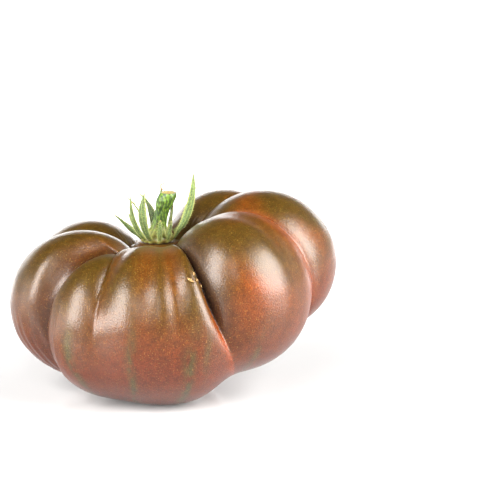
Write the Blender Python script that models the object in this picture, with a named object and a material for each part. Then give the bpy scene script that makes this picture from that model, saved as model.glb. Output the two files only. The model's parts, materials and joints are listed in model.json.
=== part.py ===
"""A large ribbed tomato, picked with its green calyx: the fruit, the stalk stub and the sepals round it.

Units are metres and +Z is up. The fruit rests on Z = 0 on its flat spot, with the middle of its outline over
the origin. Bearings are degrees about a vertical axis: 0 is +X, the tall side of the fruit, and -90 the front.

The fruit is a run of swollen lobes round a heart, with narrow creases where two lobes meet and shallower
furrows that fade down its front. The stalk stands in the hollow at the top, and the sepals ring its foot.
"""

import math
from dataclasses import dataclass

import bmesh
import bpy
import numpy as np
from mathutils import Matrix, Vector

MM = 0.001

# Overall size of the fruit. The lobes below are stretched to it.
FRUIT_WIDTH = 110 * MM  # left to right, over the two side lobes
FRUIT_DEPTH = 92 * MM  # front to back
FRUIT_HEIGHT = 65.8 * MM  # from the surface it rests on to the top of the tallest lobe

# Where the stalk stands, as a level spot at the bottom of the hollow in the fruit's top.
SEAT_RADIUS = 5.9 * MM
SEAT_FILLET = 2.4 * MM  # width of the ring where the level spot runs out into the lobes

# How softly lobes run into each other.
CREASE_TOP = 0.5 * MM  # a crisp crease on the shoulders
CREASE_FOOT = 2.6 * MM  # almost smooth on the underside
BLEND_TOP = 1.2 * MM  # between the lobes of one group, which share a swelling
BLEND_FOOT = 3.5 * MM

# The creases are drawn in a little further than the lobes leave them.
PINCH_DEPTH = 1.3 * MM
PINCH_WIDTH = 1.2 * MM

FRUIT_COLUMNS = 96
FRUIT_ROWS = 40

# The stalk, a stub that is broken off at its knuckle.
STALK_HEIGHT = 16.6 * MM
STALK_RADIUS = 2.1 * MM
KNUCKLE_RADIUS = 2.6 * MM
KNUCKLE_HEIGHT = 13.4 * MM
STALK_FOOT_RADIUS = 5.1 * MM
STALK_FOOT_HEIGHT = 1.8 * MM
STALK_LEAN = 4.4 * MM  # how far the top stands to the right of the foot
STALK_SIDES = 20

# The sepals.
SEPAL_THICKNESS = 0.7 * MM
SEPAL_ROOT_WIDTH = 1.5 * MM
SEPAL_ROOT_HEIGHT = 1.3 * MM  # of the root's middle above the level spot
SEPAL_SIDES = 8
SEPAL_STEPS = 12

# Left between two solids that touch in the real fruit.
GAP = 0.3 * MM


@dataclass(frozen=True)
class Lobe:
    """One swelling of the fruit, an ellipsoid. Sizes are in millimetres, before the stretch to overall size."""

    group: str  # lobes of one group run together softly, and groups meet in a crease
    bearing: float  # from the axis of the stalk to the middle of the lobe
    out: float  # distance of the lobe's middle from that axis
    height: float  # of the lobe's middle above the resting surface
    reach: float  # half its size outwards
    breadth: float  # half its size sideways
    rise: float  # half its height


LOBES = (
    Lobe("front", 0, 2, 24.0, 27, 27, 25.6),
    Lobe("front", -130, 23.5, 26.5, 23.5, 17.0, 23.6),
    Lobe("front", -90, 20.0, 26.4, 26.6, 27.0, 26.6),
    Lobe("front", -68, 24.3, 28.5, 21.7, 17.0, 25.0),
    Lobe("front_right", -28, 30.0, 35.8, 24.8, 27.0, 26.4),
    Lobe("right", 10, 36.0, 41.0, 25.0, 23.3, 24.4),
    Lobe("back_right", 42, 30.5, 40.2, 21.5, 21.0, 22.6),
    Lobe("back", 102, 21.5, 23.0, 23.8, 26.0, 22.0),
    Lobe("back_left", 140, 30.5, 30.5, 20.5, 20.5, 21.6),
    Lobe("left", 191, 25.5, 29.6, 24.4, 20.5, 24.4),
)

# The level of the point that the fruit's surface is measured out from, under the stalk.
CORE_HEIGHT = 31.0


@dataclass(frozen=True)
class Furrow:
    """A shallow groove that runs down from the hollow. Depth and width are in millimetres."""

    bearing: float
    depth: float
    width: float
    start: float  # degrees down from the stalk's axis where it is deepest
    end: float  # degrees down where it has faded away


FURROWS = (
    Furrow(-148, 2.4, 3.2, 50, 100),
    Furrow(-115, 3.8, 2.8, 45, 105),
    Furrow(-98, 1.2, 2.4, 45, 105),
    Furrow(-83, 1.6, 2.4, 45, 110),
    Furrow(-61, 1.8, 2.4, 50, 115),
    Furrow(-30, 1.2, 4.0, 50, 100),
    Furrow(196, 1.6, 3.0, 50, 100),
)


@dataclass(frozen=True)
class Sepal:
    """One narrow green leaf of the calyx. Angles are degrees, and the length is in millimetres."""

    bearing: float
    length: float
    width: float
    lift: float  # how steeply it leaves the stalk, 0 level and 90 upright
    curl: float  # how much that angle changes from root to tip
    swing: float  # how much its bearing changes from root to tip


SEPALS = {
    "sepal_front": Sepal(-80, 7.5, 1.8, 76, 10, 0),
    "sepal_front_right": Sepal(-48, 7.0, 1.8, 70, 16, 0),
    "sepal_right_long": Sepal(-18, 25.0, 2.9, 52, 42, 0),
    "sepal_right_low": Sepal(14, 7.0, 2.0, 50, 20, 0),
    "sepal_back_right": Sepal(46, 12.5, 3.0, 76, 12, 0),
    "sepal_back": Sepal(78, 18.0, 2.2, 84, 20, 0),
    "sepal_back_left": Sepal(110, 15.5, 3.0, 96, -66, 30),
    "sepal_left_thin": Sepal(145, 15.0, 1.2, 96, -66, 10),
    "sepal_left_high": Sepal(174, 9.0, 1.8, 60, 10, 0),
    "sepal_left_low": Sepal(200, 12.4, 2.2, 42, 6, -10),
    "sepal_left_tall": Sepal(223, 17.5, 1.6, 46, 52, -26),
    "sepal_front_left": Sepal(246, 18.5, 2.3, 46, 66, -44),
}


def smooth_step(value):
    """0 below 0, 1 above 1, and a smooth rise between."""
    t = np.clip(value, 0.0, 1.0)
    return t * t * (3 - 2 * t)


def unit(bearing):
    """The level unit vector with that bearing."""
    angle = math.radians(bearing)
    return np.array([math.cos(angle), math.sin(angle), 0.0])


def lobe_length(lobe, directions):
    """How far the lobe's skin is from the core in each direction, in millimetres, or 0 where it isn't met."""
    outwards = unit(lobe.bearing)
    sideways = unit(lobe.bearing + 90)
    axes = np.array([outwards, sideways, [0.0, 0.0, 1.0]])
    halves = np.array([lobe.reach, lobe.breadth, lobe.rise])
    middle = np.array([lobe.out, 0.0, lobe.height - CORE_HEIGHT]) / halves
    along = directions @ axes.T / halves
    a = (along**2).sum(axis=1)
    b = along @ middle
    square = b**2 - a * (middle @ middle - 1)
    return np.where(square > 0, (b + np.sqrt(np.maximum(square, 0))) / a, 0.0)


def furrow_depth(furrow, directions, lengths):
    """How much the furrow takes off the skin in each direction, in millimetres."""
    down = np.degrees(np.arccos(np.clip(directions[:, 2], -1, 1)))
    level = np.hypot(directions[:, 0], directions[:, 1])
    turn = np.degrees(np.arctan2(directions[:, 1], directions[:, 0])) - furrow.bearing
    turn = (turn + 180) % 360 - 180
    across = np.radians(np.abs(turn)) * level * lengths
    fade = 1 - smooth_step((down - furrow.start) / (furrow.end - furrow.start))
    return furrow.depth * fade * level * np.exp(-((across / furrow.width) ** 2))


def soft_longest(lengths, soft):
    """The longest of the lengths, rounded over where two are alike."""
    longest = lengths.max(axis=0)
    return longest + soft * np.log(np.exp((lengths - longest) / soft).sum(axis=0))


def skin(directions):
    """Points of the fruit's skin in the given directions from its core, in metres, before it is stretched."""
    sink = smooth_step(-directions[:, 2] / 0.8)
    blend = (BLEND_TOP + (BLEND_FOOT - BLEND_TOP) * sink) / MM
    crease = (CREASE_TOP + (CREASE_FOOT - CREASE_TOP) * sink) / MM
    groups = dict.fromkeys(lobe.group for lobe in LOBES)
    lengths = np.array(
        [
            soft_longest(np.array([lobe_length(lobe, directions) for lobe in LOBES if lobe.group == group]), blend)
            for group in groups
        ]
    )
    ranked = np.sort(lengths, axis=0)
    gap = ranked[-1] - ranked[-2]
    pinch = PINCH_DEPTH * (1 - sink) * np.exp(-gap * MM / PINCH_WIDTH)
    pinch *= smooth_step(np.hypot(directions[:, 0], directions[:, 1]) / 0.5)
    lengths = soft_longest(lengths, crease) - pinch / MM
    for furrow in FURROWS:
        lengths = lengths - furrow_depth(furrow, directions, lengths)
    return (directions * lengths[:, None] + [0, 0, CORE_HEIGHT]) * MM


def sphere_directions(columns, rows):
    """Unit vectors spread over a sphere, for measuring the skin."""
    turn = np.linspace(0, 2 * np.pi, columns, endpoint=False)
    down = np.linspace(0, np.pi, rows)
    turn, down = (grid.ravel() for grid in np.meshgrid(turn, down))
    return np.stack([np.sin(down) * np.cos(turn), np.sin(down) * np.sin(turn), np.cos(down)], axis=1)


def fruit_fit():
    """(stretch along X, Y and Z, shift along X, Y and Z) that bring the lobes to the overall size and place."""
    points = skin(sphere_directions(FRUIT_COLUMNS, FRUIT_ROWS))
    low, high = points.min(axis=0), points.max(axis=0)
    low[2] = 0
    stretch = np.array([FRUIT_WIDTH, FRUIT_DEPTH, FRUIT_HEIGHT]) / (high - low)
    shift = -stretch * (low + high) / 2
    shift[2] = 0
    return stretch, shift


STRETCH, SHIFT = fruit_fit()
STALK_AXIS = Vector((SHIFT[0], SHIFT[1], 0))
SEAT_HEIGHT = float(skin(np.array([[0.0, 0.0, 1.0]]))[0, 2] * STRETCH[2])


def placed_skin(directions):
    """The skin at its overall size and in its place, with the level spot for the stalk."""
    points = skin(directions) * STRETCH + SHIFT
    out = np.hypot(points[:, 0] - STALK_AXIS.x, points[:, 1] - STALK_AXIS.y)
    level = 1 - smooth_step((out - SEAT_RADIUS) / SEAT_FILLET)
    level = np.where(directions[:, 2] > 0, level, 0)
    points[:, 2] += level * (SEAT_HEIGHT - points[:, 2])
    return points


def material(name, colour, roughness):
    """A plain material in a linear colour."""
    made = bpy.data.materials.new(name)
    made.use_nodes = True
    shader = made.node_tree.nodes["Principled BSDF"]
    shader.inputs["Base Color"].default_value = (*colour, 1)
    shader.inputs["Roughness"].default_value = roughness
    shader.inputs["Metallic"].default_value = 0
    return made


def add_object(name, bm, finish):
    """The bmesh as an object of that name, smooth apart from its sharp edges."""
    bmesh.ops.recalc_face_normals(bm, faces=bm.faces)
    mesh = bpy.data.meshes.new(name)
    bm.to_mesh(mesh)
    bm.free()
    mesh.shade_smooth()
    mesh.set_sharp_from_angle(angle=math.radians(50))
    mesh.materials.append(finish)
    made = bpy.data.objects.new(name, mesh)
    bpy.context.scene.collection.objects.link(made)
    return made


def build_fruit(finish):
    """The fruit, cut level where it rests."""
    bm = bmesh.new()
    bmesh.ops.create_uvsphere(bm, u_segments=FRUIT_COLUMNS, v_segments=FRUIT_ROWS, radius=1)
    verts = list(bm.verts)
    directions = np.array([vert.co.normalized() for vert in verts])
    for vert, point in zip(verts, placed_skin(directions)):
        vert.co = point
    cut = bmesh.ops.bisect_plane(
        bm,
        geom=bm.verts[:] + bm.edges[:] + bm.faces[:],
        dist=0.001 * MM,
        plane_co=(0, 0, 0),
        plane_no=(0, 0, 1),
        clear_inner=True,
    )
    rim = [part for part in cut["geom_cut"] if isinstance(part, bmesh.types.BMEdge)]
    bmesh.ops.edgeloop_fill(bm, edges=rim)
    return add_object("fruit", bm, finish)


def sweep(frames, sides):
    """A bmesh of a round section carried through the frames and closed at both ends."""
    bm = bmesh.new()
    bmesh.ops.create_circle(bm, cap_ends=True, segments=sides, radius=1, matrix=frames[0])
    rim = list(bm.edges)
    for last, frame in zip(frames, frames[1:]):
        made = bmesh.ops.extrude_edge_only(bm, edges=rim)["geom"]
        rim = [part for part in made if isinstance(part, bmesh.types.BMEdge)]
        rim = [edge for edge in rim if all(vert in made for vert in edge.verts)]
        corners = list({vert for edge in rim for vert in edge.verts})
        bmesh.ops.transform(bm, matrix=frame @ last.inverted(), verts=corners)
    bmesh.ops.edgeloop_fill(bm, edges=rim)
    return bm


def stalk_frames():
    """Sections of the stalk from its flared foot to its broken knuckle."""
    foot = SEAT_HEIGHT + GAP
    outline = (
        (0.0, STALK_FOOT_RADIUS * 0.85),
        (STALK_FOOT_HEIGHT * 0.4, STALK_FOOT_RADIUS),
        (STALK_FOOT_HEIGHT, STALK_FOOT_RADIUS * 0.9),
        (STALK_FOOT_HEIGHT * 1.8, (STALK_FOOT_RADIUS + STALK_RADIUS) / 2),
        (STALK_FOOT_HEIGHT * 3.0, STALK_RADIUS * 1.1),
        (KNUCKLE_HEIGHT - 1.6 * KNUCKLE_RADIUS, STALK_RADIUS),
        (KNUCKLE_HEIGHT - 0.7 * KNUCKLE_RADIUS, KNUCKLE_RADIUS * 0.86),
        (KNUCKLE_HEIGHT, KNUCKLE_RADIUS),
        (KNUCKLE_HEIGHT + 0.5 * (STALK_HEIGHT - KNUCKLE_HEIGHT), KNUCKLE_RADIUS * 0.92),
        (STALK_HEIGHT, KNUCKLE_RADIUS * 0.55),
    )
    frames = []
    for height, radius in outline:
        lean = STALK_LEAN * (height / STALK_HEIGHT) ** 2
        place = STALK_AXIS + Vector((lean, 0, foot + height))
        frames.append(Matrix.LocRotScale(place, None, Vector((radius, radius, 1))))
    return frames


def sepal_frames(sepal):
    """Sections of a sepal from its blunt root to its narrow tip."""
    place = STALK_AXIS + Vector(unit(sepal.bearing)) * (STALK_FOOT_RADIUS + GAP)
    place.z = SEAT_HEIGHT + SEPAL_ROOT_HEIGHT
    frames = []
    for step in range(SEPAL_STEPS + 1):
        along = step / SEPAL_STEPS
        turn = math.radians(sepal.bearing + sepal.swing * along)
        lift = math.radians(sepal.lift + sepal.curl * along)
        forward = Vector((math.cos(turn) * math.cos(lift), math.sin(turn) * math.cos(lift), math.sin(lift)))
        side = Vector((-math.sin(turn), math.cos(turn), 0))
        normal = forward.cross(side)
        if step:
            place = place + forward * (sepal.length * MM / SEPAL_STEPS)
        width = SEPAL_ROOT_WIDTH + (sepal.width * MM - SEPAL_ROOT_WIDTH) * math.sin(math.pi * along**0.8)
        width *= 1 - 0.8 * along**3
        thick = SEPAL_THICKNESS * (1 - 0.6 * along)
        frame = Matrix((side * width / 2, normal * thick / 2, forward)).transposed().to_4x4()
        frame.translation = place
        frames.append(frame)
    return frames


def clear_scene():
    for item in list(bpy.data.objects):
        bpy.data.objects.remove(item)


def main():
    clear_scene()
    flesh = material("brown_red_skin", (0.28, 0.075, 0.03), 0.25)
    stalk_green = material("stalk_green", (0.13, 0.22, 0.03), 0.6)
    sepal_green = material("sepal_green", (0.16, 0.25, 0.06), 0.7)
    build_fruit(flesh)
    add_object("stalk", sweep(stalk_frames(), STALK_SIDES), stalk_green)
    for name, sepal in SEPALS.items():
        add_object(name, sweep(sepal_frames(sepal), SEPAL_SIDES), sepal_green)


main()
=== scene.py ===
"""The looks of a ribbed beefsteak tomato: its brown-red skin, green stalk and sepals, in a white studio.

Sizes are in millimetres where a name ends in _mm or a table says so, and otherwise in metres. Bearings are
degrees about a vertical axis through the stalk: 0 is +X, the tall side of the fruit, and -90 the front.
"""

import json
import math
from dataclasses import dataclass

import bmesh
import bpy
import numpy as np
from bpy.props import FloatProperty, FloatVectorProperty, IntProperty, PointerProperty
from mathutils import Matrix, Vector, noise

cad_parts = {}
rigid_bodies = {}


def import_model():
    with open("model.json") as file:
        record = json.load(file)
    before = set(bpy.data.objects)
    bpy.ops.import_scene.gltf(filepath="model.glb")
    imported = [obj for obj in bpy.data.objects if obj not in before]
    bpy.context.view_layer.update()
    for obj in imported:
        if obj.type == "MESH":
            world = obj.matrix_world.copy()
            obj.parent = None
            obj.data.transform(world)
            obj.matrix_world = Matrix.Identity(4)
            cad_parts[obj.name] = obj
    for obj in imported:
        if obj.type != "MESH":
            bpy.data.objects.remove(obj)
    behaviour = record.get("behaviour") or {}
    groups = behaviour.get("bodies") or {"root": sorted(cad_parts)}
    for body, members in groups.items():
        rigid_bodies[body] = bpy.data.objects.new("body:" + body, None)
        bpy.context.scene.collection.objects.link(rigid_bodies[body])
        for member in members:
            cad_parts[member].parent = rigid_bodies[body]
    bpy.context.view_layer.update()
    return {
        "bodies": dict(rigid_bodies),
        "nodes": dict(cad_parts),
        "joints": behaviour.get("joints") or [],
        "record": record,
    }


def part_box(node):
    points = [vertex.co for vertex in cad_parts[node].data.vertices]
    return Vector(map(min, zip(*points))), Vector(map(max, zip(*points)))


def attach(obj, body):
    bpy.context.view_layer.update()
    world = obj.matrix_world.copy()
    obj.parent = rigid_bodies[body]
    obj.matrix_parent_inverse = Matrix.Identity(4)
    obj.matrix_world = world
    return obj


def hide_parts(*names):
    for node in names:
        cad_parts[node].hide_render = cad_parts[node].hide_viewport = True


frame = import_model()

bl_info = {
    "name": "Ribbed tomato",
    "version": (1, 0, 0),
    "blender": (4, 5, 0),
    "location": "View3D > Sidebar > Tomato",
    "description": "Models a ribbed beefsteak tomato with its stalk and sepals",
    "category": "Object",
}

MM = 0.001

FRUIT_LOW, FRUIT_HIGH = (np.array(corner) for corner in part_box("fruit"))

FRUIT_COLUMNS = 480
FRUIT_ROWS = 200
FRUIT_CUTS = 3

# The CAD fruit's size is compared with the lobes' at this many directions.
FIT_COLUMNS, FIT_ROWS = 96, 40

# The level of the point under the stalk that the skin is measured out from.
CORE_HEIGHT_MM = 31.0

# Where the stalk stands, a level spot at the bottom of the hollow.
SEAT_RADIUS_MM = 5.9
SEAT_FILLET_MM = 2.4

# How softly lobes run into each other, on the shoulders and at the foot.
CREASE_TOP_MM, CREASE_FOOT_MM = 0.35, 3.8
BLEND_TOP_MM, BLEND_FOOT_MM = 1.2, 3.5
BLEND_FALL = 0.8  # how steeply a direction points down where the foot's softness is reached, 1 straight down

# Creases and tints begin round the stalk, and are whole where the sine of degrees down is this.
ROUND_STALK = 0.5


@dataclass(frozen=True)
class Lobe:
    """One swelling of the fruit, an ellipsoid. Sizes are in millimetres."""

    group: str  # lobes of one group run together softly, and groups meet in a crease
    bearing: float
    out: float  # from the stalk's axis to the lobe's middle
    height: float  # of that middle above the resting surface
    reach: float  # half its size outwards
    breadth: float  # half its size sideways
    rise: float  # half its height


LOBES = (
    Lobe("front", 0, 2, 24.0, 27, 27, 25.6),
    Lobe("front_left", -130, 23.5, 26.0, 23.8, 17.3, 23.3),
    Lobe("front", -90, 20.0, 26.4, 26.6, 27.0, 26.6),
    Lobe("front", -68, 24.3, 28.5, 21.7, 17.0, 25.0),
    Lobe("front_right", -28, 30.0, 35.8, 24.8, 27.0, 26.4),
    Lobe("right", 10, 36.0, 41.0, 25.0, 23.3, 24.4),
    Lobe("back_right", 42, 30.5, 40.2, 21.5, 21.0, 22.6),
    Lobe("back", 102, 21.5, 23.0, 23.8, 26.0, 22.0),
    Lobe("back_left", 140, 30.5, 30.5, 20.5, 20.5, 21.6),
    Lobe("left", 191, 25.5, 29.6, 24.4, 22.0, 24.4),
)


# The creases between two groups: how deep each is drawn in, how wide it is on the first group's side and on the
# second's, in millimetres, and between which degrees down from the top it fades away.
CREASES = {
    ("front", "front_right"): (5.5, 1.2, 3.4, 80, 108),
    ("front_left", "left"): (4.4, 0.8, 4.5, 90, 135),
    ("front", "front_left"): (1.6, 0.7, 1.3, 66, 102),
}
CREASE_ELSEWHERE = (1.3, 0.9, 0.9, 90, 143)

# A crease drawn in further than this is deep. The dark in the creases is painted shade: a deep crease's is darker and
# reaches further out of it.
DEEP_MM = 2
DEEP_DARK_SHARE = 0.8  # how far it reaches, as a share of the crease's width
DEEP_DARK_MM, OTHER_DARK_MM = (1.5, 3.6), 0.5  # the least and the most of that, and how far it reaches elsewhere
OTHER_DARKNESS = 0.4
DARK_LEFT_AT_FOOT = 0.2  # the share of the dark that is left where a crease has faded away

# How far a group's skin is darkened with painted shade beside a deep crease, in millimetres.
SHADED_MM = {"front_right": 4.5, "left": 10.0}

# Where the first group's skin turns orange along its crease with the second: how far from the crease, in
# millimetres, how strongly, and between which degrees down it begins.
BLUSHES = {
    ("front", "front_right"): (2.2, 0.6, 66, 92),
    ("front_right", "right"): (11.0, 0.65, 20, 60),
    ("right", "front_right"): (1.5, 0.4, 20, 60),
}


@dataclass(frozen=True)
class Furrow:
    """A shallow groove down the fruit. Depth and width are in millimetres, start and end degrees down."""

    bearing: float
    depth: float
    width: float
    start: float  # where it begins to fade
    end: float  # where it has faded away
    head: float = 0  # where it begins, from above


FURROWS = (
    Furrow(-148, 2.4, 3.2, 50, 100),
    Furrow(-115, 1.6, 2.8, 45, 105),
    Furrow(-94, 2.3, 4.2, 45, 108),
    Furrow(-80, 2.7, 3.2, 45, 108),
    Furrow(-30, 1.2, 4.0, 50, 100),
    Furrow(212, 2.2, 3.2, 50, 125, 40),
)
FURROW_HEAD = 15  # degrees over which a furrow with a head begins
FURROW_BLUSH = 0.1  # how orange a furrow is for each millimetre of its depth

# Fine pleats low on the left lobe. Bearings and their spread are in degrees, and so are the rest, down from the top.
PLEAT_BEARING, PLEAT_SPREAD = 205, 16
PLEAT_START, PLEAT_RISE = 88, 14
PLEAT_END, PLEAT_FALL = 150, 20
PLEATS_ROUND = 95  # as many as there would be all the way round
PLEAT_WAVER = 100  # how far they waver as they run down, in degrees of one pleat
PLEAT_WAVES_DOWN = 6

# The skin's random swells and dips: how wide they are, and how far up they begin, clear of the flat spot.
SWELL_WIDTH_MM = 17
SWELL_START_MM, SWELL_RISE_MM = 3, 10

# The stalk stands this far above its seat, and its foot is a low mound that the sepals grow out of.
STALK_GAP_MM = 0.3
STALK_HEIGHT_MM = 16.6
STALK_LEAN_MM = 3.9
STALK_BEND = 1.6  # above 1 it stands straight at its foot and leans higher up
STALK_SIDES = 72
STALK_RINGS = 90
STALK_ROUNDING_MM = 0.8  # how far each height of its outline is blended with the next
HAIRLESS_RINGS = 8  # at its foot, among the sepals

# (height, radius) of the stalk in millimetres, from its foot to the rim of its broken end.
STALK_OUTLINE = (
    (0.0, 4.9),
    (0.8, 5.5),
    (1.8, 5.0),
    (3.2, 3.5),
    (5.2, 2.5),
    (8.0, 2.3),
    (10.6, 2.4),
    (12.4, 2.9),
    (14.2, 3.2),
    (15.8, 3.05),
    (16.6, 2.6),
)
# (depth, radius) in millimetres of the shallow dish in its broken end.
STALK_DISH = ((0.1, 2.1), (0.5, 1.6), (0.7, 0.8))

# Where the stalk's foot ends and its knuckle begins, and over how many millimetres.
FOOT_END_MM, FOOT_FADE_MM = 2.5, 5.5
KNUCKLE_START_MM, KNUCKLE_RISE_MM = 10.5, 2

# How far the foot's ribs, the ridges above them and the knuckle's dents stand out, as shares of the radius.
RIB_SWELL, RIDGE_SWELL, DENT_SWELL = 0.11, 0.05, 0.09
RIDGES, RIDGE_TURN = 7, 0.35  # how many there are, and how far they wind in radians for each millimetre
STALK_RIB_SHARE = 0.6  # how far the foot's ribs are paler
BREAK_DRY_SHARE = 0.55  # how dry the broken end looks


@dataclass(frozen=True)
class Sepal:
    """One narrow green leaf of the calyx. Angles are degrees, and lengths are in millimetres."""

    bearing: float
    length: float
    width: float
    lift: float  # how steeply it leaves the stalk, 0 level and 90 upright
    curl: float  # how much that angle changes from root to tip
    swing: float  # how much its bearing changes from root to tip
    twist: float  # how far its blade is turned about its own length
    cup: float  # how far its edges are raised, as a share of its width
    # A low value also stands for painted shade where a sepal lies in the stalk's shadow.
    pale: float  # from dark green, 0, to pale grey-green, 1
    widest: float = 0.4  # how far along it is widest, as a share of its length


SEPALS = {
    "sepal_front": Sepal(-80, 7.5, 1.9, 76, 10, 0, 0, 0.5, 0.45, 0.3),
    "sepal_front_right": Sepal(-48, 7.0, 2.0, 70, 16, 0, 0, 0.5, 0.5, 0.3),
    "sepal_right_long": Sepal(-18, 25.0, 2.9, 52, 42, 0, -62, 0.25, 0.85, 0.45),
    "sepal_right_low": Sepal(14, 7.0, 2.2, 50, 20, 0, -50, 0.35, 0.4, 0.3),
    # The back-right sepal's low pale value is painted shade: it stands in the stalk's shadow.
    "sepal_back_right": Sepal(46, 12.5, 3.0, 76, 12, 0, -30, 0.25, 0.05, 0.4),
    "sepal_back": Sepal(78, 17.0, 1.8, 84, 12, 0, 0, 0.25, 0.3, 0.4),
    "sepal_back_left": Sepal(110, 15.5, 3.2, 96, -66, 30, 20, 0.25, 0.15, 0.45),
    "sepal_left_thin": Sepal(145, 15.0, 1.6, 96, -66, 10, 40, 0.25, 0.3, 0.4),
    "sepal_left_high": Sepal(174, 9.0, 2.0, 60, 10, 0, 60, 0.3, 0.3, 0.4),
    "sepal_left_low": Sepal(200, 12.4, 2.3, 42, 6, -10, 50, 0.3, 0.2, 0.2),
    "sepal_left_tall": Sepal(223, 17.5, 1.8, 46, 52, -26, 45, 0.3, 0.6, 0.35),
    "sepal_front_left": Sepal(246, 18.5, 3.1, 46, 66, -44, 35, 0.3, 0.4, 0.5),
}
SEPAL_COLUMNS = 6
SEPAL_ROWS = 44
SEPAL_ROOT_OUT_MM = 6.0
SEPAL_ROOT_HEIGHT_MM = 1.3
SEPAL_ROOT_WIDTH_MM = 1.7
SEPAL_TIP_WIDTH_MM = 0.15
SEPAL_TAPER = 1.9  # above 1 it stays broad and narrows late
SEPAL_INSIDE_MM, SEPAL_INSIDE_RISE_MM = 3.4, 0.6  # where it begins inside the stalk's foot, out and above its root
SEPAL_DIP_MM = 0.15  # how far it dips between there and its root
TWIST_REACH = 0.25  # how far along its twist is whole
THIN_EDGE, THIN_TIP = 0.6, 0.5  # how much thinner its edges and its tip are than its middle and its root
RIPPLE, RIPPLE_TURN = 0.12, 11  # how far its edges ripple, as a share of half its width, and radians of ripple
CUPPED_NARROWER = 0.3  # how much narrower it is for being cupped
HAIR_EDGE = 0.9  # how far from the middle a place counts as on the edge
RIB_WIDTH = 0.13  # of the rib under each sepal, down the stalk's foot, in radians
VEIN_WIDTH = 0.13  # of the pale vein down a sepal's middle, as a share of half its width
YELLOW_ROOT_MM = 3.2  # how far up a sepal its yellow root shades off
DRY_TIP = 0.07  # the share of a sepal that has dried

STALK_SEED, SEPAL_SEED = 7, 100  # of the random draws for their hairs, one more for each sepal
HAIR_SHARES = (0.4, 1.0)  # the shortest and longest hair, as shares of the full length
STALK_HAIR_LEAN, SEPAL_HAIR_LEAN = (0.35, 0.2), (0.3, 0.15)  # how far they lean at random, and up
HAIR_TAPER = 0.2  # a hair's radius at its tip, as a share of that at its foot


@dataclass(frozen=True)
class Tendril:
    """A thread of dried leaf. Its points are millimetres right, back and up from the middle of the stalk's foot."""

    sepal: str  # the leaf it belongs to
    points: tuple
    radius: float


THREAD_SIDES = 8
THREAD_STEPS = 6  # between one of its points and the next
THREAD_TAPER = 0.75  # the share of its thickness that it loses


# The tip of the back sepal has dried into a ring.
TENDRILS = (
    Tendril(
        "sepal_back",
        tuple(
            (2.3 - 1.15 * math.cos(math.radians(a)), 3.6 - a * 0.002, 18.1 + 1.15 * math.sin(math.radians(a)))
            for a in range(-60, 300, 30)
        ),
        0.3,
    ),
    Tendril("sepal_front_left", ((-5.9, -2.5, 12.4), (-7.0, -2.8, 13.6), (-8.4, -3.0, 14.1), (-9.8, -3.0, 14.0)), 0.16),
    Tendril("sepal_right_long", ((12.4, -2.2, 18.6), (13.3, -2.5, 18.9), (14.3, -2.7, 18.7), (15.2, -2.8, 17.9)), 0.26),
)


def smooth_step(value):
    """0 below 0, 1 above 1, and a smooth rise between."""
    t = np.clip(value, 0.0, 1.0)
    return t * t * (3 - 2 * t)


def unit(bearing):
    """The level unit vector with that bearing."""
    angle = math.radians(bearing)
    return np.array([math.cos(angle), math.sin(angle), 0.0])


def lobe_length(lobe, directions):
    """How far the lobe's skin is from the core in each direction, in millimetres, or 0 where it isn't met."""
    axes = np.array([unit(lobe.bearing), unit(lobe.bearing + 90), [0.0, 0.0, 1.0]])
    halves = np.array([lobe.reach, lobe.breadth, lobe.rise])
    middle = np.array([lobe.out, 0.0, lobe.height - CORE_HEIGHT_MM]) / halves
    along = directions @ axes.T / halves
    a = (along**2).sum(axis=1)
    b = along @ middle
    square = b**2 - a * (middle @ middle - 1)
    return np.where(square > 0, (b + np.sqrt(np.maximum(square, 0))) / a, 0.0)


def soft_longest(lengths, soft):
    """The longest of the lengths, rounded over where two are alike."""
    longest = lengths.max(axis=0)
    return longest + soft * np.log(np.exp((lengths - longest) / soft).sum(axis=0))


def turn_from(directions, bearing):
    """Degrees of bearing from the given one, within 180 either way."""
    turn = np.degrees(np.arctan2(directions[:, 1], directions[:, 0])) - bearing
    return (turn + 180) % 360 - 180


def degrees_down(directions):
    """Degrees down from straight up."""
    return np.degrees(np.arccos(np.clip(directions[:, 2], -1, 1)))


def furrow_share(furrow, directions, lengths):
    """How much of the furrow's depth there is in each direction, from 0 to 1."""
    down = degrees_down(directions)
    level = np.hypot(directions[:, 0], directions[:, 1])
    across = np.radians(np.abs(turn_from(directions, furrow.bearing))) * level * lengths
    fade = 1 - smooth_step((down - furrow.start) / (furrow.end - furrow.start))
    if furrow.head:
        fade *= smooth_step((down - furrow.head) / FURROW_HEAD)
    return fade * level * np.exp(-((across / furrow.width) ** 2))


def pleat_share(directions):
    """Height of the fine pleats in each direction, from -1 to 1."""
    down, turn = degrees_down(directions), turn_from(directions, PLEAT_BEARING)
    window = smooth_step((down - PLEAT_START) / PLEAT_RISE) * smooth_step((PLEAT_END - down) / PLEAT_FALL)
    window = window * np.exp(-((turn / PLEAT_SPREAD) ** 2))
    waver = PLEAT_WAVER * np.sin(np.radians(down * PLEAT_WAVES_DOWN))
    return window * np.sin(np.radians(turn * PLEATS_ROUND + waver))


def crease_sizes(names, first, second):
    """(depth, width, start, end) of the crease between the two groups that reach farthest in each direction."""
    depth, near, _, start, end = CREASE_ELSEWHERE
    sizes = np.tile(np.array((depth, near, start, end), dtype=float), (len(first), 1))
    for (one, other), (depth, near, far, start, end) in CREASES.items():
        one, other = names.index(one), names.index(other)
        sizes[(first == one) & (second == other)] = depth, near, start, end
        sizes[(first == other) & (second == one)] = depth, far, start, end
    return sizes.T


def group_lengths(directions):
    """(names of the groups, how far each one's skin is from the core in each direction, in millimetres)."""
    blend = BLEND_TOP_MM + (BLEND_FOOT_MM - BLEND_TOP_MM) * smooth_step(-directions[:, 2] / BLEND_FALL)
    names = list(dict.fromkeys(lobe.group for lobe in LOBES))
    lengths = [
        soft_longest(np.array([lobe_length(lobe, directions) for lobe in LOBES if lobe.group == name]), blend)
        for name in names
    ]
    return names, np.array(lengths)


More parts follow.
